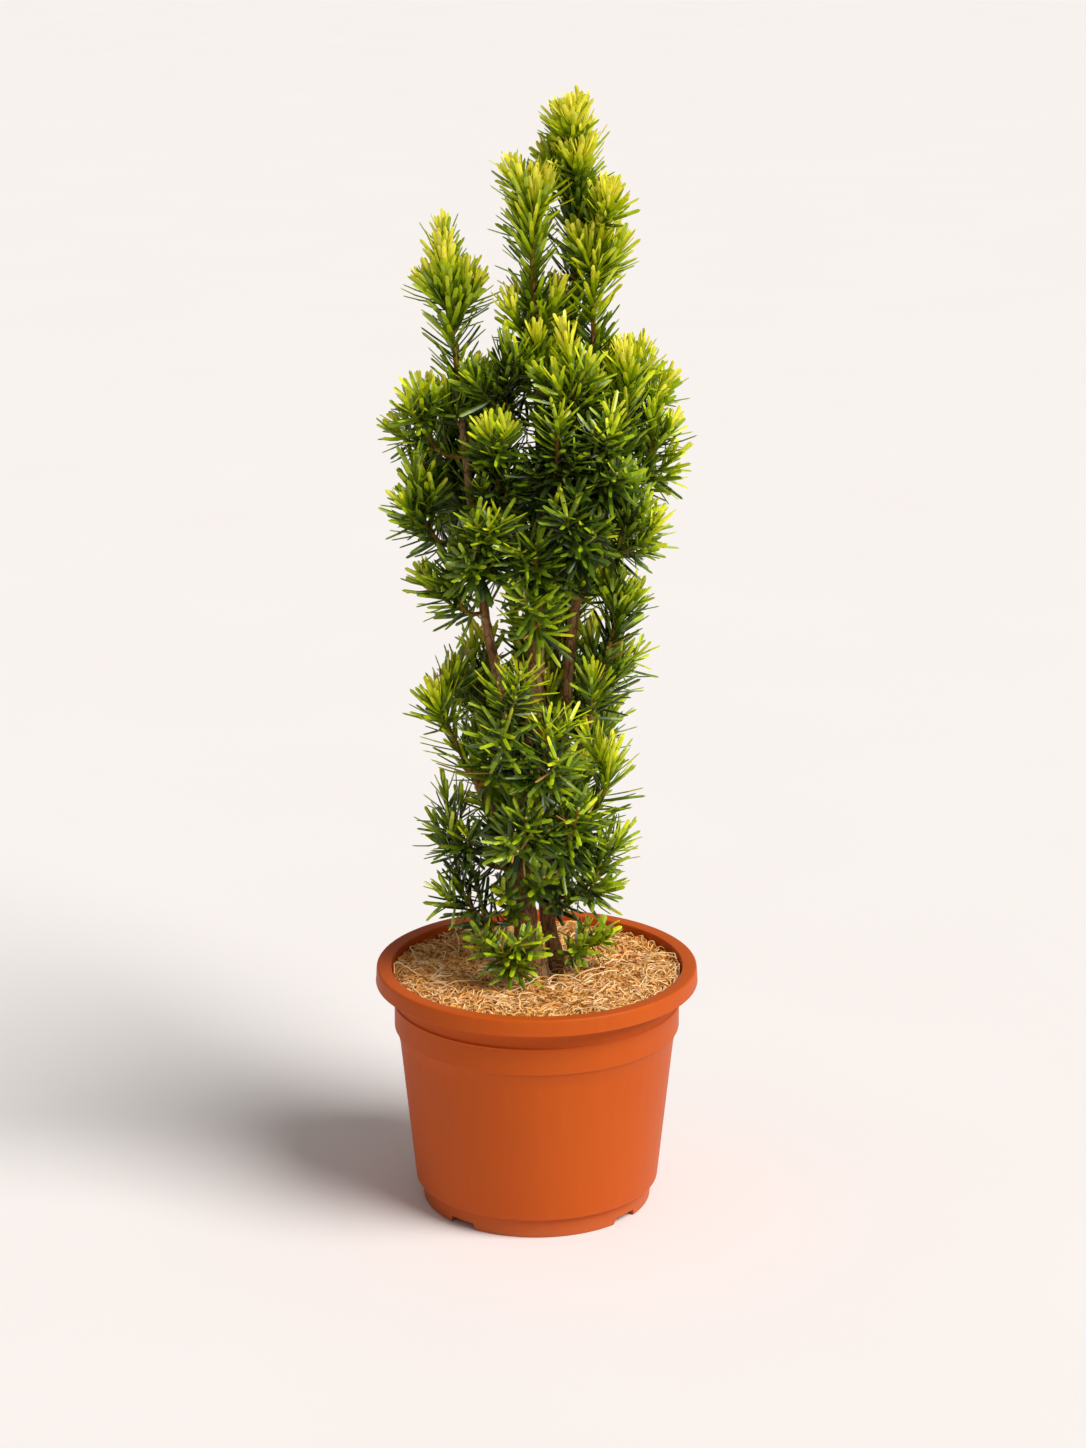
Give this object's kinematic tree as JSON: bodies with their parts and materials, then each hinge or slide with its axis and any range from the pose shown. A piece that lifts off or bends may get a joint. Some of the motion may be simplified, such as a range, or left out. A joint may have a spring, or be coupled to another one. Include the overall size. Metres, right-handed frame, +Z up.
{
  "type": "potted english yew shrub",
  "caption": "Upright young English yew with several slim stems and upright golden-tipped needle sprays, in a round flared plastic pot topped with coir fibre.",
  "frame": {"origin": "centre of the pot's flat underside, on the surface that the pot stands on", "axes": "+Z up; +X to the plant's right and +Y to its back, seen from the picture's side"},
  "size_m": [0.19, 0.19, 0.6533],
  "materials": {
    "pot_plastic": "moulded terracotta-coloured polypropylene, satin",
    "compost": "damp dark compost",
    "coir": "loose golden-tan coir fibre",
    "bark": "thin flaking red-brown bark",
    "needles": "soft glossy green needles, golden at the tips"
  },
  "bodies": {
    "root": {"pot": "pot_plastic", "soil": "compost", "mulch": "coir", "trunk": "bark", "stem_right": "bark", "bough_right": "bark", "branch_back_low": "bark", "branch_back_right": "bark", "branch_left_low": "bark", "branch_right_low": "bark", "branch_right_mid": "bark", "leader_back": "bark", "leader_back_right": "bark", "leader_left": "bark", "leader_top": "bark", "plume_back": "needles", "plume_back_low": "needles", "plume_back_right": "needles", "plume_back_right_low": "needles", "plume_centre": "needles", "plume_left": "needles", "plume_left_low": "needles", "plume_right_low": "needles", "plume_right_mid": "needles", "plume_right_shoulder": "needles", "plume_right_top": "needles", "plume_top": "needles", "spray_back_left": "needles", "spray_back_mid": "needles", "spray_back_right": "needles", "spray_back_stem": "needles", "spray_centre_front": "needles", "spray_centre_low": "needles", "spray_foot_front": "needles", "spray_foot_right": "needles", "spray_front_base": "needles", "spray_front_left": "needles", "spray_front_right": "needles", "spray_front_star": "needles", "spray_golden_centre": "needles", "spray_left_back": "needles", "spray_left_base": "needles", "spray_left_bough": "needles", "spray_left_front": "needles", "spray_left_inner": "needles", "spray_left_inner_front": "needles", "spray_left_low": "needles", "spray_left_mid": "needles", "spray_left_skirt": "needles", "spray_left_stem": "needles", "spray_left_upper": "needles", "spray_right_back": "needles", "spray_right_bough": "needles", "spray_right_centre": "needles", "spray_right_front": "needles", "spray_right_low": "needles", "spray_right_outer": "needles", "spray_right_skirt": "needles", "spray_stem_star": "needles", "spray_top_back": "needles"}
  },
  "joints": []
}
